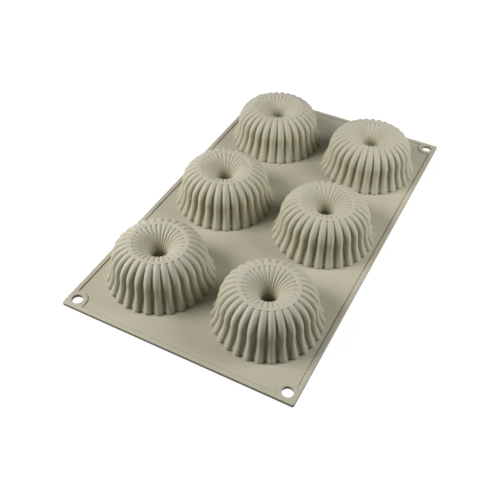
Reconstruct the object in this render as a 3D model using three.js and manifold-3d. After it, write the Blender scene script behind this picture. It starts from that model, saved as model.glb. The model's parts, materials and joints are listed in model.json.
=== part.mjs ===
// Silicone baking mould, lying open side down: a thin sheet with a raised rim and four corner eyelets
// carries six fluted ring cavities in two columns and three rows. The sheet bends along the two creases
// between its rows, so each row is a panel of its own.
// Millimetres, +Z up, origin under the middle of the sheet, +Y along the long side.
import * as THREE from "three";
import { mergeVertices } from "three/addons/utils/BufferGeometryUtils.js";
import Module from "manifold-3d";

// Sheet
const sheetThickness = 2.0;
const columnGap = 7.8; // between the rib feet of two cavities side by side
const rowGap = 17.8; // between the rib feet of two cavities one behind the other
const sideMargin = 6.6; // from the rib feet to a long edge
const endMargin = 16.7; // from the rib feet to a short edge
const cornerRadius = 1.5;

// Rim and corner eyelets
const rimWidth = 3.5;
const rimRise = 0.6;
const eyeletDiameter = 8;
const eyeletInset = 7.5; // hole centre from both edges of its corner
const eyeletLand = 3.2; // raised material between the hole and the field of the sheet

// Bend along the creases, in degrees from flat
const bendDown = 75;
const bendUp = 45;
const creaseGap = 0.3;

// Cavity wall, with heights above the top face of the sheet
const ribCount = 30;
const ribDepth = 2.4; // at the bulge
const footGrooveDepth = 2.2;
const crownGrooveDepth = 0.85; // what is left of a groove where it nears the crown
const wallThickness = 1.7;
const footRadius = 38.5;
const footLand = 1.6; // upright face at the bottom of each rib
const bulgeRadius = 33.8;
const bulgeHeight = 17.2;
const waistSpread = 0.5; // how far the wall is drawn out below the bulge
const flarePull = 3.0; // how quickly the wall leaves the foot
const crownHeight = 31.9;
const crownRadius = 21.2; // where the grooves end and the plain crown ring begins
const crownWidth = 2.8;
const crownShare = 1.4; // part of the crown ring's width that belongs to the wall, the rest to the core

// Core: a funnel with fine flutes, then a tapered bore that is closed at its tip
const fluteDepth = 0.7;
const funnelLip = 5.5; // nearly level stretch inside the crown ring
const throatRadius = 5.3;
const throatDepth = 12.9; // below the crown
const throatFlare = 2.0;
const throatBend = 5.0; // depth where the funnel turns down into the throat
const boreFloorRadius = 4.6;
const tipRecess = 1.0; // core tip above the underside of the sheet
const tipThickness = 1.6;

// Straight pieces in a quarter turn, and rows of points on the curved stretches of the outer and hidden face
const quarterSegments = 6;
const flareSteps = 2;
const shoulderSteps = 3;
const hiddenShoulderSteps = 2;
const funnelSteps = 3;

// Sizes that follow
const sheetTop = sheetThickness;
const rimTop = sheetTop + rimRise;
const crownTop = sheetTop + crownHeight;
const crownUnderside = crownTop - wallThickness;
const columnPitch = 2 * footRadius + columnGap;
const rowPitch = 2 * footRadius + rowGap;
const cupX = columnPitch / 2;
const edgeX = cupX + footRadius + sideMargin;
const edgeY = rowPitch + footRadius + endMargin;
const eyeletX = edgeX - eyeletInset;
const eyeletY = edgeY - eyeletInset;
const padRadius = eyeletDiameter / 2 + eyeletLand;
const padReach = eyeletInset + padRadius;
const creaseY = rowPitch / 2;
const creaseZ = sheetThickness / 2;
const tanHalf = (degrees) => Math.tan(THREE.MathUtils.degToRad(degrees / 2));
const rimBreak = creaseGap + (rimTop - creaseZ) * tanHalf(bendUp);
const seamRadius = crownRadius - crownShare;
const crownInnerRadius = crownRadius - crownWidth;
const boreFloor = tipRecess + tipThickness;

const columns = [
  { name: "left", side: -1 },
  { name: "right", side: 1 },
];
const rows = [
  { name: "front", place: -1 },
  { name: "middle", place: 0 },
  { name: "rear", place: 1 },
];

const silicone = new THREE.MeshStandardMaterial({ color: 0xb1aa95, roughness: 0.62, metalness: 0 });

const wasm = await Module();
wasm.setup();

// A closed geometry as a solid that can be cut
function solidFrom(geometry) {
  const bare = new THREE.BufferGeometry().setIndex(geometry.index);
  bare.setAttribute("position", geometry.getAttribute("position"));
  const merged = mergeVertices(bare, 1e-4);
  const mesh = new wasm.Mesh({
    numProp: 3,
    vertProperties: merged.getAttribute("position").array,
    triVerts: new Uint32Array(merged.index.array),
  });
  return new wasm.Manifold(mesh);
}

// A cut solid as a geometry again
function geometryFrom(solid) {
  const mesh = solid.getMesh();
  const geometry = new THREE.BufferGeometry();
  geometry.setAttribute("position", new THREE.BufferAttribute(mesh.vertProperties, 3));
  geometry.setIndex(new THREE.BufferAttribute(mesh.triVerts, 1));
  geometry.computeVertexNormals();
  return geometry;
}

// An outline in plan, extruded upwards from a height. An arc gets two pieces for each curve segment.
function plate(shape, bottom, height) {
  const options = { depth: height, bevelEnabled: false, curveSegments: quarterSegments / 2 };
  return new THREE.ExtrudeGeometry(shape, options).translate(0, 0, bottom);
}

// A flat bar that fills a rectangle of the plan between two heights
function bar(lowX, highX, lowY, highY, bottom, top) {
  const geometry = new THREE.BoxGeometry(highX - lowX, highY - lowY, top - bottom);
  return geometry.translate((lowX + highX) / 2, (lowY + highY) / 2, (bottom + top) / 2);
}

// A profile moved to the left of its direction, by an amount for each point
function offsetProfile(profile, amounts) {
  return profile.map((point, i) => {
    const before = profile[Math.max(i - 1, 0)];
    const after = profile[Math.min(i + 1, profile.length - 1)];
    const along = after.clone().sub(before).normalize();
    return new THREE.Vector2(point.x - along.y * amounts[i], point.y + along.x * amounts[i]);
  });
}

// A turned form whose columns take the groove profile and the ridge profile in turn
function flutedLathe(ridge, groove) {
  const columnCount = 2 * ribCount;
  const geometry = new THREE.LatheGeometry(ridge, columnCount);
  const position = geometry.getAttribute("position");
  for (let column = 0; column <= columnCount; column += 2) {
    const angle = (column / columnCount) * 2 * Math.PI;
    groove.forEach((point, row) => {
      const index = column * groove.length + row;
      position.setXYZ(index, point.x * Math.sin(angle), point.y, point.x * Math.cos(angle));
    });
  }
  geometry.rotateX(Math.PI / 2);
  geometry.computeVertexNormals();
  return geometry;
}

// Curves of the outer face along a rib: the flare from the foot to the bulge, and the shoulder to the crown
const footTop = new THREE.Vector2(footRadius, sheetTop + footLand);
const bulge = new THREE.Vector2(bulgeRadius, sheetTop + bulgeHeight);
const crownEdge = new THREE.Vector2(crownRadius, crownTop);
const flare = new THREE.CubicBezierCurve(
  footTop,
  new THREE.Vector2(footRadius - flarePull, sheetTop + footLand + bulgeHeight / 4),
  new THREE.Vector2(bulgeRadius + waistSpread, sheetTop + (2 * bulgeHeight) / 3),
  bulge,
);
const shoulder = new THREE.CubicBezierCurve(
  bulge,
  new THREE.Vector2(bulgeRadius, (bulge.y + crownTop) / 2),
  new THREE.Vector2((bulgeRadius + crownRadius) / 2, crownTop - crownGrooveDepth),
  crownEdge,
);

// Groove depth at each point of the wall: growing from the foot to the bulge, fading out over the shoulder
function grooveDepths(profile) {
  return profile.map((point) => {
    const rise = (point.y - sheetTop) / bulgeHeight;
    if (rise < 1) return THREE.MathUtils.lerp(footGrooveDepth, ribDepth, rise);
    const fade = THREE.MathUtils.clamp((bulgeRadius - point.x) / (bulgeRadius - crownRadius), 0, 1);
    return fade === 1 ? 0 : THREE.MathUtils.lerp(ribDepth, crownGrooveDepth, fade);
  });
}

// Outer and hidden face of the cavity wall, each along a ridge and along a groove. The foot stays on the
// sheet and both faces end at the seam in the crown ring.
function wallProfiles() {
  const outerRidge = [
    new THREE.Vector2(footRadius, sheetTop),
    ...flare.getPoints(flareSteps),
    ...shoulder.getPoints(shoulderSteps).slice(1),
    new THREE.Vector2(seamRadius, crownTop),
  ];
  const hiddenPath = [
    new THREE.Vector2(footRadius, sheetTop),
    ...flare.getPoints(flareSteps).slice(1),
    ...shoulder.getPoints(hiddenShoulderSteps).slice(1, -1),
    new THREE.Vector2(seamRadius, crownTop),
  ];
  const moved = (path, amounts, seamHeight) => {
    const profile = offsetProfile(path, amounts);
    profile[0].y = sheetTop;
    profile[profile.length - 1].set(seamRadius, seamHeight);
    return profile;
  };
  const hiddenDepths = grooveDepths(hiddenPath);
  return {
    outerRidge,
    outerGroove: moved(outerRidge, grooveDepths(outerRidge), crownTop),
    hiddenRidge: moved(hiddenPath, hiddenPath.map(() => wallThickness), crownUnderside),
    hiddenGroove: moved(hiddenPath, hiddenDepths.map((depth) => depth + wallThickness), crownUnderside),
  };
}

const wall = wallProfiles();

// The fluted wall of a cavity, standing on the sheet
function cavityWall() {
  const loop = (outer, hidden) => [...outer, ...hidden.toReversed(), outer[0]];
  return flutedLathe(loop(wall.outerRidge, wall.hiddenRidge), loop(wall.outerGroove, wall.hiddenGroove));
}

// The core of a cavity: crown ring, funnel and closed bore
function cavityCore() {
  const throat = new THREE.Vector2(throatRadius, crownTop - throatDepth);
  const funnel = new THREE.CubicBezierCurve(
    new THREE.Vector2(crownInnerRadius, crownTop),
    new THREE.Vector2(crownInnerRadius - funnelLip, crownTop),
    new THREE.Vector2(throatRadius + throatFlare, crownTop - throatBend),
    throat,
  );
  const faceRidge = funnel.getPoints(funnelSteps);
  const fluteDepths = faceRidge.map((_, i) => (i === 0 ? 0 : fluteDepth * (1 - i / funnelSteps)));
  const faceGroove = offsetProfile(faceRidge, fluteDepths);
  const backPath = [funnel.getPoint(0.5), throat];
  const back = offsetProfile(backPath, backPath.map(() => wallThickness));
  const loop = (face) => [
    new THREE.Vector2(0, tipRecess),
    new THREE.Vector2(boreFloorRadius + wallThickness, tipRecess),
    ...back.toReversed(),
    new THREE.Vector2(seamRadius, crownUnderside),
    new THREE.Vector2(seamRadius, crownTop),
    ...face,
    new THREE.Vector2(boreFloorRadius, boreFloor),
    new THREE.Vector2(0, boreFloor),
  ];
  return flutedLathe(loop(faceRidge), loop(faceGroove));
}

// Outline of a cavity's mouth in the sheet: the foot of the hidden face
function mouthPath(x, y) {
  const points = Array.from({ length: 2 * ribCount }, (_, column) => {
    const angle = (column / (2 * ribCount)) * 2 * Math.PI;
    const radius = column % 2 ? wall.hiddenRidge[0].x : wall.hiddenGroove[0].x;
    return new THREE.Vector2(x + radius * Math.sin(angle), y - radius * Math.cos(angle));
  });
  return new THREE.Path(points);
}

// A path of four quarter turns, one about each given centre, joined by straight lines
function roundedPath(path, centres, radius) {
  const quarter = Math.PI / 2;
  centres.forEach(([x, y], i) => path.absarc(x, y, radius, i * quarter, (i + 1) * quarter));
  return path.closePath();
}

// A round eyelet hole in plan
function eyeletPath(x, y) {
  return roundedPath(new THREE.Path(), Array(4).fill([x, y]), eyeletDiameter / 2);
}

// The whole sheet in one piece, with its mouths and eyelet holes
function wholeSheet() {
  const x = edgeX - cornerRadius;
  const y = edgeY - cornerRadius;
  const corners = [[x, y], [-x, y], [-x, -y], [x, -y]];
  const outline = roundedPath(new THREE.Shape(), corners, cornerRadius);
  for (const { side } of columns) {
    for (const { place } of rows) outline.holes.push(mouthPath(side * cupX, place * rowPitch));
    for (const end of [-1, 1]) outline.holes.push(eyeletPath(side * eyeletX, end * eyeletY));
  }
  return solidFrom(plate(outline, 0, sheetThickness));
}

// The slab of space that one row takes of the sheet. Both sides of a crease are cut to an edge at half the
// thickness, steep enough for the bend below it and above it.
function rowSlab(place) {
  const reach = sheetThickness;
  const creased = (y, inward) => [
    new THREE.Vector2(y + inward * (creaseGap / 2 + reach * tanHalf(bendDown)), creaseZ - reach),
    new THREE.Vector2(y + (inward * creaseGap) / 2, creaseZ),
    new THREE.Vector2(y + inward * (creaseGap / 2 + reach * tanHalf(bendUp)), creaseZ + reach),
  ];
  const square = (y) => [new THREE.Vector2(y, creaseZ - reach), new THREE.Vector2(y, creaseZ + reach)];
  const middle = place * rowPitch;
  const low = place < 0 ? square(-edgeY - reach) : creased(middle - creaseY, 1);
  const high = place > 0 ? square(edgeY + reach) : creased(middle + creaseY, -1);
  const section = new THREE.Shape([...low.toReversed(), ...high]);
  const length = 2 * (edgeX + reach);
  const geometry = plate(section, -length / 2, length);
  const acrossSheet = new THREE.Matrix4().makeBasis(
    new THREE.Vector3(0, 1, 0),
    new THREE.Vector3(0, 0, 1),
    new THREE.Vector3(1, 0, 0),
  );
  return solidFrom(geometry.applyMatrix4(acrossSheet));
}

// A raised corner pad about its eyelet hole, for the corner towards +X and +Y. Its inner corner is round
// about the hole, and its other ends meet the rim.
function eyeletPad() {
  const corner = eyeletInset - cornerRadius;
  const outline = new THREE.Shape();
  outline.moveTo(eyeletInset, -padRadius);
  outline.lineTo(eyeletInset, corner);
  outline.absarc(corner, corner, cornerRadius, 0, Math.PI / 2);
  outline.lineTo(-padRadius, eyeletInset);
  outline.absarc(0, 0, padRadius, Math.PI, 1.5 * Math.PI);
  outline.holes.push(eyeletPath(0, 0));
  return plate(outline, sheetTop, rimRise);
}

// A rim strip along a long edge, from a pad or a crease to the next crease or pad
function sideRim(side, place) {
  const middle = place * rowPitch;
  const low = place < 0 ? padReach - edgeY : middle - creaseY + rimBreak;
  const high = place > 0 ? edgeY - padReach : middle + creaseY - rimBreak;
  const edges = [side * edgeX, side * (edgeX - rimWidth)].sort((a, b) => a - b);
  return bar(edges[0], edges[1], low, high, sheetTop, rimTop);
}

// A rim strip along a short edge, between its two pads
function endRim(end) {
  const edges = [end * edgeY, end * (edgeY - rimWidth)].sort((a, b) => a - b);
  return bar(padReach - edgeX, edgeX - padReach, edges[0], edges[1], sheetTop, rimTop);
}

function named(name, geometry) {
  const mesh = new THREE.Mesh(geometry, silicone);
  mesh.name = name;
  return mesh;
}

const mould = new THREE.Group();
const sheet = wholeSheet();
const wallGeometry = cavityWall();
const coreGeometry = cavityCore();
const padGeometry = eyeletPad();

for (const row of rows) {
  const panel = new THREE.Group();
  mould.add(panel);
  panel.add(named(`sheet_${row.name}`, geometryFrom(sheet.intersect(rowSlab(row.place)))));
  if (row.place !== 0) panel.add(named(`rim_${row.name}_end`, endRim(row.place)));

  for (const column of columns) {
    const spot = `${row.name}_${column.name}`;
    panel.add(named(`rim_${spot}`, sideRim(column.side, row.place)));

    const cup = new THREE.Group();
    cup.position.set(column.side * cupX, row.place * rowPitch, 0);
    cup.add(named(`wall_${spot}`, wallGeometry), named(`core_${spot}`, coreGeometry));
    panel.add(cup);

    if (row.place !== 0) {
      const pad = named(`eyelet_${spot}`, padGeometry);
      pad.position.set(column.side * eyeletX, row.place * eyeletY, 0);
      pad.rotation.z = Math.atan2(row.place, column.side) - Math.PI / 4;
      panel.add(pad);
    }
  }
}

export default mould;
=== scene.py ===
# Silicone mould with six fluted ring cavities, lying open side down.
# Lengths are in millimetres here and become metres when a mesh is filled.
import json
import math

import bmesh
import bpy
import numpy as np
from mathutils import Matrix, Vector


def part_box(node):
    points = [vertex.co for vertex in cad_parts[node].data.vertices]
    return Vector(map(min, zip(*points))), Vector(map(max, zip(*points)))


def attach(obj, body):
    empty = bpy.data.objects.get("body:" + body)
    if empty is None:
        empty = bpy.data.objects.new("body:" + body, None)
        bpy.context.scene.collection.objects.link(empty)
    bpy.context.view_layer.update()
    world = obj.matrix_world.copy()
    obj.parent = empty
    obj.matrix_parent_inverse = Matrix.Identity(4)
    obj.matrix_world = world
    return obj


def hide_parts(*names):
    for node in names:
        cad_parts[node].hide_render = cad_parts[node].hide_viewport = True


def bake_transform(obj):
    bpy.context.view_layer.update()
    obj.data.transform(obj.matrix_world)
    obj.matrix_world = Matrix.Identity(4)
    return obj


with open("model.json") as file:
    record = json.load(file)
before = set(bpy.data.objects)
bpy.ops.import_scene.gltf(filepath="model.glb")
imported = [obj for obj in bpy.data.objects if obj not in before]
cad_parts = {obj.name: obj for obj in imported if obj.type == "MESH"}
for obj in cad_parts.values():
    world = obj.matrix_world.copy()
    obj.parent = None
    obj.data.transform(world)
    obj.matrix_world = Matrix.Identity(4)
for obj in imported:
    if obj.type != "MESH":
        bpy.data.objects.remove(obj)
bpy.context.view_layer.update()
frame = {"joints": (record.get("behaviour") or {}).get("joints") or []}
mm = 0.001


def nodeBox(node):  # lowest and highest corner of a CAD node
    low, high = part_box(node)
    return np.array(low) / mm, np.array(high) / mm


def creaseOf(joint):  # where a bend crosses the sheet, as y and z
    onAxis = next(j["pos_m"] for j in frame["joints"] if j["name"] == joint)
    return abs(onAxis[1]) / mm, onAxis[2] / mm


# What the frame fixes, read from the pieces of the rear right corner
edgeX, edgeY, sheetTop = nodeBox("sheet_rear")[1]
wallLow, wallHigh = nodeBox("wall_rear_right")
coreLow = nodeBox("core_rear_right")[0]
rimLow, rimHigh = nodeBox("rim_rear_right")
padLow = nodeBox("eyelet_rear_right")[0]
rimTop = rimHigh[2]
rimInnerX = rimLow[0]
rimInnerY = edgeY - (edgeX - rimInnerX)
cupX, rowPitch = (wallLow + wallHigh)[:2] / 2
wallRadius = (wallHigh[0] - wallLow[0]) / 2
crownTop = wallHigh[2]
tipBottom = coreLow[2]
creaseY, creaseZ = creaseOf("rear_bend")

columns = {"left": -1, "right": 1}
rows = {"front": -1, "middle": 0, "rear": 1}
ends = {"front": -1, "rear": 1}


# Grid and mesh helpers

meshing = {
    "mergeDistance": 2e-7,  # metres
    "sharpAngle": 38,
    "sameSpot": 1e-6,  # coordinates closer than this count as equal
}


def gridQuads(rowCount, columnCount, wrapRows=False, wrapColumns=False):
    # Corner numbers of every cell of a grid whose points are stored row by row
    r = np.arange(rowCount if wrapRows else rowCount - 1)[:, None]
    c = np.arange(columnCount if wrapColumns else columnCount - 1)[None, :]
    here = r * columnCount
    after = (r + 1) % rowCount * columnCount
    nextC = (c + 1) % columnCount
    return np.stack([here + c, here + nextC, after + nextC, after + c], axis=-1).reshape(-1, 4)


def makePiece(name, points, faces, finish, groove=None):
    # Fills a mesh, merges what coincides, turns faces outwards and keeps only true corners sharp
    mesh = bpy.data.meshes.new(name)
    mesh.from_pydata((points * mm).tolist(), [], faces)
    # The groove attribute holds each point's share of painted shade
    share = mesh.attributes.new("groove", "FLOAT", "POINT")
    share.data.foreach_set("value", np.zeros(len(points)) if groove is None else groove)
    work = bmesh.new()
    work.from_mesh(mesh)
    bmesh.ops.remove_doubles(work, verts=work.verts, dist=meshing["mergeDistance"])
    bmesh.ops.recalc_face_normals(work, faces=work.faces)
    work.to_mesh(mesh)
    work.free()
    mesh.shade_smooth()
    mesh.set_sharp_from_angle(angle=math.radians(meshing["sharpAngle"]))
    mesh.materials.append(finish)
    piece = bpy.data.objects.new(name, mesh)
    bpy.context.collection.objects.link(piece)
    return piece


def bezier(corners, t):
    # Cubic curve: the four corner points weighted by the Bernstein shares of t
    p = np.array(corners, float)
    t = np.asarray(t)[:, None]
    return (1 - t) ** 3 * p[0] + 3 * t * (1 - t) ** 2 * p[1] + 3 * t ** 2 * (1 - t) * p[2] + t ** 3 * p[3]


def line(start, end, count):  # evenly spaced points, the end left to what follows
    t = np.linspace(0, 1, count, endpoint=False)[:, None]
    return np.array(start, float) * (1 - t) + np.array(end, float) * t


def arc(centre, radius, startAngle, endAngle, count):  # points on a circle, both ends included
    a = np.radians(np.linspace(startAngle, endAngle, count))
    return np.array(centre, float) + radius * np.column_stack([np.cos(a), np.sin(a)])


def smooth(x):  # eases from 0 to 1, as three times the square less twice the cube
    x = np.clip(x, 0, 1)
    return x * x * (3 - 2 * x)


# Silicone finish

silicone = {
    "body": (0.452, 0.422, 0.320),
    "pale": (0.490, 0.462, 0.366),  # what the body colour slowly drifts towards
    "fleck": (0.418, 0.393, 0.284),
    "paintedShade": (0.090, 0.098, 0.054),  # painted shade, down in the grooves and bores, at the foot and on the outer edges
    "sheetPaintedShade": (0.957, 0.957, 0.952),  # painted shade: the sheet a little darker than the cups, as where they shade it
    "wallPaintedShade": (1.0, 1.012, 0.955),  # painted shade: the walls a little greener, the colour of the silicone in shade
    "wallRise": (0.004, 0.010),  # metres above the underside over which one hue passes into the next
    "crownPaintedLight": (1.0, 0.996, 1.025),  # painted light: the crowns a little paler, as lit tops
    "crownRise": (0.025, 0.0325),
    "mottle": {"Scale": 22.0, "Detail": 3, "Roughness": 0.5},  # slow drift, scale in waves per metre
    "paleSpread": (0.3, 0.7, 0.0, 0.6),  # from two levels of the noise to two shares of the colour
    "speckle": {"Scale": 420.0, "Detail": 2, "Roughness": 0.6},
    "fleckSpread": (0.62, 0.80, 0.0, 0.5),
    "glossSpread": (0.3, 0.7, 0.50, 0.62),  # the same to two levels of roughness
    "grain": {"Scale": 2600.0, "Detail": 2, "Roughness": 0.7},  # fine matt texture of the tool
    "grainHeight": 0.000012,  # metres
    "ripple": {"Scale": 95.0, "Detail": 1, "Roughness": 0.4},  # slight unevenness of a soft moulding
    "rippleHeight": 0.00005,  # metres
    "shader": {"IOR": 1.41, "Sheen Weight": 0.06, "Sheen Roughness": 0.5},
}


def siliconeFinish(s):
    # Matt and a little uneven, with painted light and shade by height above the underside and painted shade
    # where a mesh's groove attribute says so
    material = bpy.data.materials.new("matt_silicone")
    material.use_nodes = True
    nodes, links = material.node_tree.nodes, material.node_tree.links
    nodes.clear()

    def add(kind, sockets=None, **settings):
        node = nodes.new(kind)
        for key, value in settings.items():
            setattr(node, key, value)
        for socket, value in (sockets or {}).items():
            node.inputs[socket].default_value = value
        return node

    def noise(sockets):
        node = add("ShaderNodeTexNoise", sockets)
        links.new(coords, node.inputs["Vector"])
        return node.outputs["Fac"]

    def spread(source, low, high, toLow, toHigh):
        limits = {"From Min": low, "From Max": high, "To Min": toLow, "To Max": toHigh}
        node = add("ShaderNodeMapRange", limits)
        links.new(source, node.inputs["Value"])
        return node.outputs["Result"]

    def blendColour(share, first, second):
        node = add("ShaderNodeMix", data_type="RGBA")
        links.new(share, node.inputs["Factor"])
        for socket, value in ((node.inputs["A"], first), (node.inputs["B"], second)):
            if isinstance(value, tuple):
                socket.default_value = (*value, 1)
            else:
                links.new(value, socket)
        return node.outputs["Result"]

    def bump(height, distance):
        node = add("ShaderNodeBump", {"Distance": distance})
        links.new(height, node.inputs["Height"])
        return node

    coords = add("ShaderNodeTexCoord").outputs["Object"]
    mottle = noise(s["mottle"])
    speckle = noise(s["speckle"])
    groove = add("ShaderNodeAttribute", attribute_name="groove").outputs["Fac"]
    drift = blendColour(spread(mottle, *s["paleSpread"]), s["body"], s["pale"])
    dotted = blendColour(spread(speckle, *s["fleckSpread"]), drift, s["fleck"])

    # Painted light and shade by height: sheet darker, walls greener as in shade, crowns paler as lit tops
    height = add("ShaderNodeSeparateXYZ")
    links.new(coords, height.inputs["Vector"])
    onWall = spread(height.outputs["Z"], *s["wallRise"], 0.0, 1.0)
    onCrown = spread(height.outputs["Z"], *s["crownRise"], 0.0, 1.0)
    paintedLightByHeight = blendColour(onCrown, blendColour(onWall, s["sheetPaintedShade"], s["wallPaintedShade"]), s["crownPaintedLight"])
    toned = add("ShaderNodeMix", data_type="RGBA", blend_type="MULTIPLY")
    toned.inputs["Factor"].default_value = 1.0
    links.new(dotted, toned.inputs["A"])
    links.new(paintedLightByHeight, toned.inputs["B"])
    # Painted shade: the dark colour mixed in where the groove attribute says, in grooves, bores, at the foot
    # and on outer edges
    shadedColour = blendColour(groove, toned.outputs["Result"], s["paintedShade"])

    lowBump = bump(noise(s["ripple"]), s["rippleHeight"])
    fineBump = bump(noise(s["grain"]), s["grainHeight"])
    links.new(lowBump.outputs["Normal"], fineBump.inputs["Normal"])

    shader = add("ShaderNodeBsdfPrincipled", s["shader"])
    links.new(shadedColour, shader.inputs["Base Color"])
    links.new(spread(speckle, *s["glossSpread"]), shader.inputs["Roughness"])
    links.new(fineBump.outputs["Normal"], shader.inputs["Normal"])
    output = add("ShaderNodeOutputMaterial")
    links.new(shader.outputs["BSDF"], output.inputs["Surface"])
    return material


matt = siliconeFinish(silicone)


# Cups: each is one closed surface of a profile turned round its axis. The profile has two versions, one
# along a rib's ridge and one along the groove between two ribs, and the turn swings between them.

cup = {
    "ribs": 30,
    "ribDepth": 2.4,  # of a groove at the bulge
    "footDepth": 2.2,  # of a groove where the ribs stand on the sheet
    "crownDepth": 0.85,  # of a groove just before it ends at the crown ring
    "ringDepth": 0.1,  # of the notches between the beads of the crown ring
    "grooveEnd": 0.3,  # length over which a groove runs out
    "ribShare": 0.9,  # part of the pitch that a rib takes, the rest is the floor of the groove
    "footShare": 0.79,
    "waistPinch": 0.04,  # what the ribs lose of that share at the waist
    "ribRoundness": 1.3,  # radius of a rib's section in half rib widths
    "wall": 1.7,
    "toeReach": 0.5,  # how far the soft toes stand out beyond the foot in the frame
    "skirt": 0.8,  # flat collar of the sheet that belongs to the cup
    "collarStep": 0.3,  # outer part of the collar with points of its own
    "fillet": 0.15,
    "lip": 1.0,  # rounding of the mouth underneath
    "lipClear": 0.3,  # least height of the hidden face above it
    "footLand": 1.6,
    "toe": 0.6,  # softening of the foot's upper corner
    "toeShare": 0.09,  # part of the flare that it takes
    "bulgeRadius": 33.8,
    "bulgeHeight": 17.2,
    "waistSpread": 0.5,  # how far the wall is drawn out below the bulge
    "flarePull": 3.0,
    "crownRadius": 21.2,
    "crownWidth": 2.8,
    "crownEase": 1.0,  # how far below the crown the shoulder's curve is aimed
    "fluteDepth": 0.85,
    "fluteEnd": 4.9,  # radius where the fine flutes die out
    "fluteFade": 0.5,  # power of the radius with which they do
    "funnelLip": 5.5,
    "throatRadius": 5.3,
    "throatDepth": 12.9,
    "throatFlare": 2.0,
    "throatBend": 5.0,
    "boreFloorRadius": 4.6,
    "tipThickness": 1.6,
    "boreFillet": 1.2,
    "tipRound": 2.6,
    "grooveShade": 0.31,  # how much painted shade the floor of a groove takes
    "grooveUnshaded": 0.3,  # share of the groove's depth without it
    "shadeDepth": 1.8,  # grooves shallower than this take less
    "footShade": 0.09,  # the same painted shade for the foot of the wall
    "footShadeHeight": 14.0,
    # painted shade deep in the bore
    "boreShade": 0.42,
    "shadeTop": 6.0,  # the bore's painted shade begins at this depth below the crown
    "shadeBottom": 24.0,
    "boreReach": 10.0,  # radius within which it does
}
cupSteps = {
    "rib": 14,
    "floor": 4,
    "corner": 6,
    "bore": 8,
    "funnel": 34,
    "ring": 5,
    "shoulder": 34,
    "flare": 26,
    "toe": 7,
    "fillet": 6,
    "lip": 6,
    "stem": 6,
    "tip": 8,
    "packing": 1.5,  # power with which the points of funnel and shoulder crowd towards the crown ring
    "hiddenStride": 2,  # the hidden face keeps every second point
}
footRadius = wallRadius + cup["toeReach"]
skirtRadius = footRadius + cup["skirt"]


def cupStretches(c, n):
    # Stretches of the outer face from the middle of the bore floor to the deck, each with its groove depth,
    # the share of a rib in the pitch and the way a groove sinks: along the normal on the curved top, level
    # on the wall
    crownInner = c["crownRadius"] - c["crownWidth"]
    boreFloor = tipBottom + c["tipThickness"]
    throatZ = crownTop - c["throatDepth"]
    bulge = (c["bulgeRadius"], sheetTop + c["bulgeHeight"])
    footTop = (footRadius, sheetTop + c["footLand"])

    soft = c["boreFillet"]
    flatRadius = c["boreFloorRadius"] - soft
    floor = line((0, boreFloor), (flatRadius, boreFloor), n["floor"])
    corner = arc((flatRadius, boreFloor + soft), soft, -90, 0, n["corner"])
    bore = line((c["boreFloorRadius"], boreFloor + soft), (c["throatRadius"], throatZ), n["bore"])[1:]

    funnel = bezier([
        (crownInner, crownTop),
        (crownInner - c["funnelLip"], crownTop),
        (c["throatRadius"] + c["throatFlare"], crownTop - c["throatBend"]),
        (c["throatRadius"], throatZ),
    ], np.linspace(1, 0, n["funnel"], endpoint=False) ** n["packing"])
    ring = line((crownInner, crownTop), (c["crownRadius"], crownTop), n["ring"])
    shoulder = bezier([
        bulge,
        (c["bulgeRadius"], (bulge[1] + crownTop) / 2),
        ((c["bulgeRadius"] + c["crownRadius"]) / 2, crownTop - c["crownEase"]),
        (c["crownRadius"], crownTop),
    ], 1 - np.linspace(0, 1, n["shoulder"], endpoint=False) ** n["packing"])
    flareCorners = [
        footTop,
        (footRadius - c["flarePull"], footTop[1] + c["bulgeHeight"] / 4),
        (c["bulgeRadius"] + c["waistSpread"], sheetTop + 2 * c["bulgeHeight"] / 3),
        bulge,
    ]
    flare = bezier(flareCorners, np.linspace(1, c["toeShare"], n["flare"], endpoint=False))
    toeStart = bezier(flareCorners, [c["toeShare"]])[0]
    toeEnd = (footRadius, footTop[1] - c["toe"])
    toe = bezier([toeStart, footTop, footTop, toeEnd], np.linspace(0, 1, n["toe"], endpoint=False))
    fillet = arc((footRadius + c["fillet"], sheetTop + c["fillet"]), c["fillet"], 180, 270, n["fillet"])

    fade = np.clip((c["bulgeRadius"] - shoulder[:, 0]) / (c["bulgeRadius"] - c["crownRadius"]), 0, 1)
    ribSink = c["ribDepth"] + (c["crownDepth"] - c["ribDepth"]) * fade
    ribStart = smooth((shoulder[:, 0] - c["crownRadius"]) / c["grooveEnd"])
    ribSink = c["ringDepth"] + (ribSink - c["ringDepth"]) * ribStart
    reach = np.clip((funnel[:, 0] - c["fluteEnd"]) / (crownInner - c["fluteEnd"]), 0, 1)
    fluteStart = smooth((crownInner - funnel[:, 0]) / c["grooveEnd"])
    fluteSink = c["fluteDepth"] * reach ** c["fluteFade"]
    fluteSink = c["ringDepth"] + (fluteSink - c["ringDepth"]) * fluteStart
    drop = (bulge[1] - flare[:, 1]) / (bulge[1] - toeStart[1])
    flareSink = c["ribDepth"] + (c["footDepth"] - c["ribDepth"]) * drop ** 2
    top, foot = c["ribShare"], c["footShare"]
    flareShare = top + (foot - top) * smooth(drop) - c["waistPinch"] * np.sin(np.pi * drop) ** 2
    boreStretches = [
        (floor, 0, top, False),
        (corner, 0, top, False),
        (bore, 0, top, False),
    ]
    shellStretches = [
        (funnel, fluteSink, top, True),
        (ring, c["ringDepth"], top, True),
        (shoulder, ribSink, top, True),
        (flare, flareSink, flareShare, False),
        (toe, c["footDepth"], foot, False),
    ]
    filletStretches = [(fillet, c["footDepth"], foot, False)]
    return boreStretches, shellStretches, filletStretches


def pointCount(stretches):  # points in all of them together
    return sum(len(path) for path, _, _, _ in stretches)


def inwardOf(path):  # unit normals to the right of the way along a path
    along = np.gradient(path, axis=0)
    along /= np.linalg.norm(along, axis=1)[:, None]
    return np.column_stack([along[:, 1], -along[:, 0]])


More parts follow.
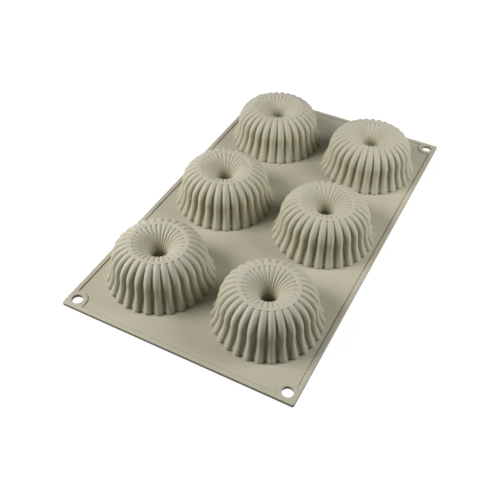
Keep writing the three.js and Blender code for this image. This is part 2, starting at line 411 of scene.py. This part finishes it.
def cupProfile(c, n):
    # Ridge and groove version of the whole loop, from the bore floor over the crown, down the wall, round
    # the collar and back up inside the cavity to the middle of the core's tip
    boreStretches, shellStretches, filletStretches = cupStretches(c, n)
    stretches = boreStretches + shellStretches + filletStretches
    ridge = np.concatenate([path for path, _, _, _ in stretches])
    sink = np.concatenate([np.broadcast_to(depth, len(path)) for path, depth, _, _ in stretches])
    ribShare = np.concatenate([np.broadcast_to(share, len(path)) for path, _, share, _ in stretches])
    bent = np.concatenate([np.full(len(path), curved) for path, _, _, curved in stretches])
    level = np.column_stack([np.full(len(ridge), -1.0), np.zeros(len(ridge))])
    inward = np.where(bent[:, None], inwardOf(ridge), level)
    groove = ridge + inward * sink[:, None]

    # Hidden face: the outer face moved inwards by the wall, from the mouth up to the core
    first = pointCount(boreStretches)
    last = first + pointCount(shellStretches)
    hiddenRidge = (ridge + inward * c["wall"])[first:last][::-1]
    hiddenGroove = (groove + inward * c["wall"])[first:last][::-1]
    hiddenShare = ribShare[first:last][::-1]
    kept = np.arange(len(hiddenRidge)) % n["hiddenStride"] == 0
    kept &= hiddenRidge[:, 1] > c["lip"] + c["lipClear"]
    kept[-1] = True
    hiddenRidge, hiddenGroove, hiddenShare = hiddenRidge[kept], hiddenGroove[kept], hiddenShare[kept]

    collarInner = skirtRadius - c["collarStep"]
    collar = np.concatenate([
        line((collarInner, sheetTop), (skirtRadius, sheetTop), 2),
        [(skirtRadius, sheetTop)],
        line((skirtRadius, 0), (collarInner, 0), 2),
    ])

    mouthRidge = footRadius - c["wall"]
    mouthGroove = mouthRidge - c["footDepth"]
    lipTurn = arc((0, c["lip"]), c["lip"], -90, -180, n["lip"])
    lipRidge = lipTurn + (mouthRidge + c["lip"], 0)
    lipGroove = lipTurn + (mouthGroove + c["lip"], 0)

    tipRadius = c["boreFloorRadius"] + c["wall"]
    tipCentre = (tipRadius - c["tipRound"], tipBottom + c["tipRound"])
    tipTurn = arc(tipCentre, c["tipRound"], 0, -90, n["tip"])
    stem = line(hiddenRidge[-1], tipTurn[0], n["stem"])[1:]
    tipFloor = np.array([(tipRadius / 3, tipBottom), (0, tipBottom)])
    core = np.concatenate([stem, tipTurn, tipFloor])

    fullRidge = np.concatenate([ridge, collar, lipRidge, hiddenRidge, core])
    fullGroove = np.concatenate([groove, collar, lipGroove, hiddenGroove, core])
    footRows = np.full(len(collar) + len(lipRidge), c["footShare"])
    fullShare = np.concatenate([ribShare, footRows, hiddenShare, np.full(len(core), c["ribShare"])])
    outside = np.arange(len(fullRidge)) < len(ridge) + len(collar)
    depth = np.zeros(len(fullRidge))
    depth[:len(sink)] = sink
    return fullRidge, fullGroove, fullShare, depth, outside


def turnedCup(c, n):
    # Round the axis each rib is an arc of a circle between two narrow flat floors: height share
    # (sqrt(R^2 - u^2) - sqrt(R^2 - 1)) / (R - sqrt(R^2 - 1)), with u from -1 to 1 across the rib.
    # Inside the cavity the same ribs are rounded off to (1 + cos(pi u)) / 2.
    ridge, groove, ribShare, depth, outside = cupProfile(c, n)
    big = c["ribRoundness"]
    widest = math.asin(1 / big)
    u = big * np.sin(np.linspace(-widest, widest, n["rib"]))
    rootEnd = math.sqrt(big * big - 1)
    arched = (np.sqrt(np.maximum(big * big - u * u, 0)) - rootEnd) / (big - rootEnd)
    waved = (1 + np.cos(np.pi * u)) / 2
    pitch = 2 * np.pi / c["ribs"]
    middle = np.repeat(np.arange(c["ribs"]) * pitch, len(u))
    aside = np.tile(u * pitch / 2, c["ribs"])
    angle = middle[None, :] + aside[None, :] * ribShare[:, None]
    arched = np.tile(arched, c["ribs"])
    waved = np.tile(waved, c["ribs"])

    share = np.where(outside[:, None], arched[None, :], waved[None, :])
    radius = groove[:, :1] + (ridge - groove)[:, :1] * share
    height = groove[:, 1:] + (ridge - groove)[:, 1:] * share
    points = np.stack([radius * np.cos(angle), radius * np.sin(angle), height], axis=-1)

    # Share of painted shade, on the outer face only: in grooves, in the bore and at the foot
    below = np.clip((1 - share - c["grooveUnshaded"]) / (1 - c["grooveUnshaded"]), 0, 1)
    inGroove = c["grooveShade"] * below * np.clip(depth / c["shadeDepth"], 0, 1)[:, None]
    inBore = smooth((crownTop - ridge[:, 1] - c["shadeTop"]) / (c["shadeBottom"] - c["shadeTop"]))
    inBore *= c["boreShade"] * (ridge[:, 0] < c["boreReach"])
    atFoot = smooth((sheetTop + c["footShadeHeight"] - ridge[:, 1]) / c["footShadeHeight"])
    atFoot *= c["footShade"] * (ridge[:, 0] <= footRadius) * (ridge[:, 0] > c["boreReach"])
    unshaded = (1 - np.maximum(inGroove, inBore[:, None])) * (1 - atFoot[:, None])
    shade = (1 - unshaded) * outside[:, None]
    return points.reshape(-1, 3), gridQuads(len(ridge), len(middle), wrapColumns=True), shade.ravel()


cupPoints, cupFaces, cupShade = turnedCup(cup, cupSteps)
for rowName, row in rows.items():
    for columnName, side in columns.items():
        spot = f"{rowName}_{columnName}"
        centre = np.array([side * cupX, row * rowPitch, 0])
        piece = makePiece(f"cup_{spot}", cupPoints + centre, cupFaces.tolist(), matt, cupShade)
        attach(piece, f"row_{rowName}")
        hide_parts(f"wall_{spot}", f"core_{spot}")
print("cups:", len(rows) * len(columns), "with", len(cupFaces), "faces each")


# Rim and eyelet pads: both are as thick as the sheet and the raised edge together

rim = {
    "outerRound": 0.5,
    "outerLowRound": 0.3,
    "lean": 0.1,  # how far the outer face draws in towards the underside
    "innerRound": 0.3,
    "seam": 0.5,  # width of the shallow seam between the rim and the field of the sheet
    "seamDepth": 0.25,
    # painted shade on the outer face of the edge and on the eyelet holes' walls
    "paintedEdgeShade": 0.95,
    "arcSteps": 6,
    "sideStep": 1.0,  # spacing of the stations along a strip
}


def rimSection(r):
    # Cross-section, with x from the outer edge inwards: a flat strip with an outer face that leans in, and
    # a small rounding above the seam beside the field of the sheet
    wide = edgeX - rimInnerX
    seamZ = sheetTop - r["seamDepth"]
    n = r["arcSteps"]
    high, low, inner = r["outerRound"], r["outerLowRound"], r["innerRound"]
    return np.concatenate([
        arc((r["lean"] + low, low), low, 270, 180, n),
        arc((high, rimTop - high), high, 180, 90, n),
        arc((wide - inner, rimTop - inner), inner, 90, 0, n),
        [(wide, seamZ), (wide + r["seam"], seamZ), (wide + r["seam"], 0)],
    ])


def edgeShade(r, height):  # painted shade on an outer face: none on top, full below the upper rounding
    return r["paintedEdgeShade"] * smooth((rimTop - height) / r["outerRound"])


def rimStrip(name, r, length, toSheet):
    # The section carried straight along a length, then put in place by a function of (across, along, up)
    section = rimSection(r)
    stations = np.linspace(*length, int(abs(length[1] - length[0]) / r["sideStep"]) + 1)
    across = np.broadcast_to(section[None, :, 0], (len(stations), len(section)))
    along = np.broadcast_to(stations[:, None], across.shape)
    up = np.broadcast_to(section[None, :, 1], across.shape)
    points = np.stack(toSheet(across, along, up), axis=-1).reshape(-1, 3)
    quads = gridQuads(len(stations), len(section), wrapColumns=True).tolist()
    firstCap = np.arange(len(section)).tolist()
    lastCap = (np.arange(len(section)) + (len(stations) - 1) * len(section)).tolist()
    # Painted shade on the outer face of the strip
    shade = edgeShade(r, up.ravel()) * (across.ravel() < r["lean"] + r["outerLowRound"])
    return makePiece(name, points, quads + [firstCap, lastCap], matt, shade)


def bendAcross(piece):  # bakes a piece's placement into its mesh
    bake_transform(piece)


for rowName, end in ends.items():
    for columnName, side in columns.items():
        strip = rimStrip(
            f"rim_{rowName}_{columnName}_strip", rim, (0, padLow[1]),
            lambda across, along, up: (side * (edgeX - across), end * along, up),
        )
        bendAcross(strip)
        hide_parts(f"rim_{rowName}_{columnName}", f"rim_middle_{columnName}")
    strip = rimStrip(
        f"rim_{rowName}_end_strip", rim, (-padLow[0], padLow[0]),
        lambda across, along, up: (along, end * (edgeY - across), up),
    )
    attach(strip, f"row_{rowName}")
    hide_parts(f"rim_{rowName}_end")

eyelet = {
    "inset": 7.5,  # hole centre from both edges
    "holeRadius": 4.0,
    "holeRound": 0.2,
    "cornerRadius": 1.5,
    "nearlyFull": 0.99,  # share of a rounding that counts as the whole of it
    "cornerSteps": 8,
    "edgeSteps": 14,
    "quarterSteps": 24,
    "faceSteps": 5,
}
eyeletX = edgeX - eyelet["inset"]
eyeletY = edgeY - eyelet["inset"]
padRadius = eyeletX - padLow[0]


def padOutline(e, outerInset, innerInset):
    # Outline of a pad about its hole for the corner towards +X and +Y, drawn in from the free edges by one
    # inset and from the edges above the sheet by another. The ends that meet the rim aren't drawn in.
    stripIn = rimInnerX - eyeletX + innerInset
    corner = e["inset"] - e["cornerRadius"]
    out, low = e["inset"] - outerInset, padRadius - innerInset
    n = e["edgeSteps"]
    return np.concatenate([
        line((out, -padRadius), (out, corner), n),
        arc((corner, corner), e["cornerRadius"] - outerInset, 0, 90, e["cornerSteps"]),
        line((corner, out), (-padRadius, out), n)[1:],
        line((-padRadius, out), (-padRadius, stripIn), n),
        [(-padRadius, stripIn)],
        line((-low, stripIn), (-low, 0), n),
        arc((0, 0), low, 180, 270, e["quarterSteps"]),
        line((0, -low), (stripIn, -low), n)[1:],
        [(stripIn, -low)],
        line((stripIn, -padRadius), (out, -padRadius), n),
    ])


def eyeletPad(e, r):
    # A closed loop of rings: top face from the hole to the drawn-in outline, the rounded edge down to the
    # full outline, the underside back to the hole, and the hole's wall
    full = padOutline(e, 0, 0)
    turn = np.arctan2(full[:, 1], full[:, 0])
    spoke = np.column_stack([np.cos(turn), np.sin(turn)])

    def ring(outline, z):
        return np.column_stack([outline, np.full(len(outline), z)])

    def holeRing(a):  # plan of the hole's rounded edge, a quarter turn from its face to its wall
        return spoke * (hole + soft * (1 - np.sin(a)))

    quarter = np.linspace(0, np.pi / 2, r["arcSteps"])
    between = np.linspace(0, 1, e["faceSteps"])[1:-1]
    hole, soft = e["holeRadius"], e["holeRound"]
    topOutline = padOutline(e, r["outerRound"], r["innerRound"])
    leanOutline = padOutline(e, r["lean"], 0)
    lowOutline = padOutline(e, r["lean"] + r["outerLowRound"], 0)
    depthTop = np.minimum(np.linalg.norm(full - topOutline, axis=1), r["outerRound"])
    depthTop = np.where(depthTop > r["outerRound"] * e["nearlyFull"], r["outerRound"], depthTop)
    depthLow = np.minimum(np.linalg.norm(leanOutline - lowOutline, axis=1), r["outerLowRound"])
    inner = spoke * (hole + soft)

    rings = [ring(holeRing(a), rimTop - soft * (1 - np.cos(a))) for a in quarter[::-1]]
    rings += [ring(inner + (topOutline - inner) * t, rimTop) for t in between]
    for a in quarter:
        edge = topOutline + (full - topOutline) * np.sin(a)
        rings.append(np.column_stack([edge, rimTop - depthTop * (1 - np.cos(a))]))
    for a in quarter[::-1]:
        edge = lowOutline + (leanOutline - lowOutline) * np.sin(a)
        rings.append(np.column_stack([edge, depthLow * (1 - np.cos(a))]))
    rings += [ring(lowOutline + (inner - lowOutline) * t, 0) for t in between]
    rings += [ring(holeRing(a), soft * (1 - np.cos(a))) for a in quarter]

    loops = np.stack(rings)
    quads = gridQuads(loops.shape[0], loops.shape[1], wrapRows=True, wrapColumns=True)
    points = loops.reshape(-1, 3)
    # Painted shade on the pad's outer edge and on the hole's wall
    onEdge = points[:, :2].max(axis=1) > e["inset"] - r["lean"] - r["outerLowRound"]
    inHole = np.linalg.norm(points[:, :2], axis=1) < hole + soft * e["nearlyFull"]
    return points, quads.tolist(), edgeShade(r, points[:, 2]) * (onEdge | inHole)


padPoints, padFaces, padShade = eyeletPad(eyelet, rim)
for rowName, end in ends.items():
    for columnName, side in columns.items():
        spot = f"{rowName}_{columnName}"
        placed = (padPoints + (eyeletX, eyeletY, 0)) * (side, end, 1)
        piece = makePiece(f"eyelet_{spot}_pad", placed, padFaces, matt, padShade)
        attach(piece, f"row_{rowName}")
        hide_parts(f"eyelet_{spot}")
print("rim strips and eyelet pads made")


# Field of the sheet: round every cup a fan of straight spokes runs from the collar to its cell's border

field = {
    "spokeSteps": 18,
    "creaseCount": 96,
    "edgeCount": 84,
    "sideCount": 48,
    "notchCount": 5,
    "arcCount": 16,
}
fieldX = rimInnerX - rim["seam"]
fieldY = rimInnerY - rim["seam"]


def endCellBorder(f):
    # Border of the rear right cell: crease, right rim, round the eyelet pad, rear rim, middle line
    return np.concatenate([
        line((0, creaseY), (fieldX, creaseY), f["creaseCount"]),
        line((fieldX, creaseY), (fieldX, padLow[1]), f["edgeCount"]),
        line((fieldX, padLow[1]), (eyeletX, padLow[1]), f["notchCount"]),
        arc((eyeletX, eyeletY), padRadius, 270, 180, f["arcCount"]),
        line((padLow[0], eyeletY), (padLow[0], fieldY), f["notchCount"])[1:],
        line((padLow[0], fieldY), (0, fieldY), f["edgeCount"]),
        line((0, fieldY), (0, creaseY), f["edgeCount"]),
    ])


def middleCellBorder(f):
    # Border of the rear half of the right middle cell, from the right rim over the crease to the middle line
    return np.concatenate([
        line((fieldX, 0), (fieldX, creaseY), f["sideCount"]),
        line((fieldX, creaseY), (0, creaseY), f["creaseCount"]),
        line((0, creaseY), (0, 0), f["sideCount"]),
        [(0, 0)],
    ])


def fieldCell(f, border, centre, closed):
    # Each spoke is a straight line from the collar's circle to a border point. Its top and underside make
    # one loop of points, and the loops side by side fill the cell. Returns points, faces and end caps.
    away = border - centre
    collar = centre + skirtRadius * away / np.linalg.norm(away, axis=1)[:, None]
    t = np.linspace(0, 1, f["spokeSteps"])[None, :, None]
    plan = collar[:, None, :] + (border - collar)[:, None, :] * t
    loop = np.concatenate([plan, plan[:, ::-1]], axis=1)
    height = np.concatenate([np.full(f["spokeSteps"], sheetTop), np.zeros(f["spokeSteps"])])
    up = np.broadcast_to(height[None, :, None], (*loop.shape[:2], 1))
    points = np.concatenate([loop, up], axis=2)
    loopSize = points.shape[1]
    quads = gridQuads(len(border), loopSize, wrapRows=closed, wrapColumns=True)
    cap = np.arange(loopSize)
    caps = [] if closed else [cap, cap + (len(border) - 1) * loopSize]
    return points.reshape(-1, 3), quads, caps


def fieldHalf(f, end):
    # Both end cells and both half middle cells of one half of the sheet, without walls where cells meet
    cells = [
        fieldCell(f, endCellBorder(f), (cupX, rowPitch), True),
        fieldCell(f, middleCellBorder(f), (cupX, 0), False),
    ]
    points, faces, caps, count = [], [], [], 0
    for side in columns.values():
        for cellPoints, quads, cellCaps in cells:
            points.append(cellPoints * (side, end, 1))
            faces.append(quads + count)
            caps += [(cap + count).tolist() for cap in cellCaps]
            count += len(cellPoints)
    points = np.concatenate(points)
    faces = np.concatenate(faces)
    x, y, z = np.moveaxis(points[faces], -1, 0)
    near = meshing["sameSpot"]
    level = np.ptp(z, axis=1) < near
    onMiddle = np.all(np.abs(x) < near, axis=1)
    onCrease = np.all(np.abs(np.abs(y) - creaseY) < near, axis=1)
    kept = faces[level | ~(onMiddle | onCrease)]
    return points, kept.tolist() + caps


for rowName, end in ends.items():
    fieldPoints, fieldFaces = fieldHalf(field, end)
    piece = makePiece(f"sheet_{rowName}_half", fieldPoints, fieldFaces, matt)
    bendAcross(piece)
    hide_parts(f"sheet_{rowName}", "sheet_middle")
print("sheet halves made")


# Camera, floor and light

camera = {
    "azimuth": 26.33,
    "elevation": 44.71,
    "roll": 1.55,
    "target": (1.165, -40.93, 0.0),
    "distance": 523.9,
    "focal": 701.9,  # in pixels of an image 500 wide
    "imageWidth": 500,
    "sensor": 36.0,
    "clip": (0.01, 50),  # metres
}


def placeCamera(c):  # looks at the target from a direction and a distance, rolled about the line of sight
    a, e, r = (math.radians(c[key]) for key in ("azimuth", "elevation", "roll"))
    back = np.array([math.sin(a) * math.cos(e), -math.cos(a) * math.cos(e), math.sin(e)])
    level = np.array([math.cos(a), math.sin(a), 0])
    upright = np.cross(back, level)
    right = level * math.cos(r) + upright * math.sin(r)
    up = upright * math.cos(r) - level * math.sin(r)
    eye = (np.array(c["target"]) + back * c["distance"]) * mm
    data = bpy.data.cameras.new("photo_view")
    data.sensor_width = c["sensor"]
    data.lens = c["focal"] * c["sensor"] / c["imageWidth"]
    data.clip_start, data.clip_end = c["clip"]
    view = bpy.data.objects.new("photo_view", data)
    turned = np.eye(4)
    turned[:3] = np.column_stack([right, up, back, eye])
    view.matrix_world = Matrix(turned.tolist())
    bpy.context.collection.objects.link(view)
    bpy.context.scene.camera = view


stage = {
    "floorSize": 12.0,  # metres, as the other lengths here
    "floorDrop": 0.00005,
    "floorColour": (0.30, 0.30, 0.30),
    "floorLift": (0.82, 1.0),  # how much of the white behind the floor shows, near the mould and far away
    "liftReach": (0.20, 0.50),
    "belowReach": 0.6,  # how far below the floor, along the line of sight, a bent row is looked for
    "belowShare": (0.999, 0.96),  # open share of that side where the floor begins to clear and is clear
    "belowSamples": 24,
    "ambient": 0.0,  # light of the room on the mould
}
# A soft lamp on each side of the camera, and one for the underside, which they can't reach: metres and watts
lamps = {
    "left_lamp": {"azimuth": 209, "elevation": 37, "distance": 0.75, "size": 0.38, "power": 6.3},
    "right_lamp": {"azimuth": 18, "elevation": 34, "distance": 0.5, "size": 0.25, "power": 1.9},
    "lower_lamp": {"azimuth": 250, "elevation": -82, "distance": 0.6, "size": 0.2, "power": 3.0},
}


def seenDirectly(nodes, links):  # 1 for camera, glossy and transmission rays
    path = nodes.new("ShaderNodeLightPath")
    total = path.outputs["Is Camera Ray"]
    for name in ("Is Glossy Ray", "Is Transmission Ray"):
        both = nodes.new("ShaderNodeMath")
        both.operation = "MAXIMUM"
        links.new(total, both.inputs[0])
        links.new(path.outputs[name], both.inputs[1])
        total = both.outputs[0]
    return path, total


def floorFinish(s):
    # A surface that takes shadows over the white behind it. It is quite clear where something lies under
    # it, so that a row bent down past the floor still shows, and clear to shadow rays for the same reason.
    material = bpy.data.materials.new("white_floor")
    material.use_nodes = True
    nodes, links = material.node_tree.nodes, material.node_tree.links
    nodes.clear()

    def mixShaders(share, first, second):
        node = nodes.new("ShaderNodeMixShader")
        links.new(share, node.inputs["Fac"])
        links.new(first.outputs[0], node.inputs[1])
        links.new(second.outputs[0], node.inputs[2])
        return node

    path, direct = seenDirectly(nodes, links)
    diffuse = nodes.new("ShaderNodeBsdfDiffuse")
    diffuse.inputs["Color"].default_value = (*s["floorColour"], 1)
    floorPoint = nodes.new("ShaderNodeTexCoord")
    away = nodes.new("ShaderNodeVectorMath")
    away.operation = "LENGTH"
    links.new(floorPoint.outputs["Object"], away.inputs[0])
    level = nodes.new("ShaderNodeMapRange")
    level.interpolation_type = "SMOOTHSTEP"
    level.inputs["From Min"].default_value, level.inputs["From Max"].default_value = s["liftReach"]
    level.inputs["To Min"].default_value, level.inputs["To Max"].default_value = s["floorLift"]
    links.new(away.outputs["Value"], level.inputs["Value"])
    lift = nodes.new("ShaderNodeMath")
    lift.operation = "MULTIPLY"
    links.new(direct, lift.inputs[0])
    links.new(level.outputs["Result"], lift.inputs[1])
    behind = nodes.new("ShaderNodeBsdfTransparent")
    links.new(lift.outputs[0], behind.inputs["Color"])
    lit = nodes.new("ShaderNodeAddShader")
    links.new(diffuse.outputs[0], lit.inputs[0])
    links.new(behind.outputs[0], lit.inputs[1])

    below = nodes.new("ShaderNodeAmbientOcclusion")
    below.inside = True
    below.samples = s["belowSamples"]
    below.inputs["Distance"].default_value = s["belowReach"]
    sight = nodes.new("ShaderNodeNewGeometry")
    links.new(sight.outputs["Incoming"], below.inputs["Normal"])
    found = nodes.new("ShaderNodeMapRange")
    found.inputs["From Min"].default_value, found.inputs["From Max"].default_value = s["belowShare"]
    links.new(below.outputs["AO"], found.inputs["Value"])
    clear = nodes.new("ShaderNodeBsdfTransparent")
    opened = mixShaders(found.outputs["Result"], lit, clear)
    passed = mixShaders(path.outputs["Is Shadow Ray"], opened, clear)
    output = nodes.new("ShaderNodeOutputMaterial")
    links.new(passed.outputs[0], output.inputs["Surface"])
    return material


def layFloor(s):  # one square just under the mould
    corners = np.array([(-1, -1, 0), (1, -1, 0), (1, 1, 0), (-1, 1, 0)]) * s["floorSize"] / 2
    mesh = bpy.data.meshes.new("floor")
    mesh.from_pydata((corners - (0, 0, s["floorDrop"])).tolist(), [], [(0, 1, 2, 3)])
    mesh.materials.append(floorFinish(s))
    floor = bpy.data.objects.new("floor", mesh)
    bpy.context.collection.objects.link(floor)


def hangLamp(name, s):  # a soft square lamp that faces the middle of the mould
    data = bpy.data.lights.new(name, "AREA")
    data.size = s["size"]
    data.energy = s["power"]
    a, e = math.radians(s["azimuth"]), math.radians(s["elevation"])
    back = np.array([math.cos(a) * math.cos(e), math.sin(a) * math.cos(e), math.sin(e)])
    side = np.array([-math.sin(a), math.cos(a), 0])
    lamp = bpy.data.objects.new(name, data)
    turned = np.eye(4)
    turned[:3] = np.column_stack([side, np.cross(back, side), back, back * s["distance"]])
    lamp.matrix_world = Matrix(turned.tolist())
    lamp.visible_camera = False
    bpy.context.collection.objects.link(lamp)


def lightWorld(s):  # white where it is seen directly, and only as bright as the ambient value elsewhere
    world = bpy.data.worlds.new("white_room")
    bpy.context.scene.world = world
    world.use_nodes = True
    nodes, links = world.node_tree.nodes, world.node_tree.links
    nodes.clear()
    _, direct = seenDirectly(nodes, links)
    strength = nodes.new("ShaderNodeMapRange")
    strength.inputs["To Min"].default_value = s["ambient"]
    links.new(direct, strength.inputs["Value"])
    background = nodes.new("ShaderNodeBackground")
    background.inputs["Color"].default_value = (1, 1, 1, 1)
    links.new(strength.outputs["Result"], background.inputs["Strength"])
    output = nodes.new("ShaderNodeOutputWorld")
    links.new(background.outputs[0], output.inputs["Surface"])


placeCamera(camera)
layFloor(stage)
lightWorld(stage)
for lampName, settings in lamps.items():
    hangLamp(lampName, settings)
bpy.context.scene.view_settings.view_transform = "Standard"
print("camera, floor and lamps placed")
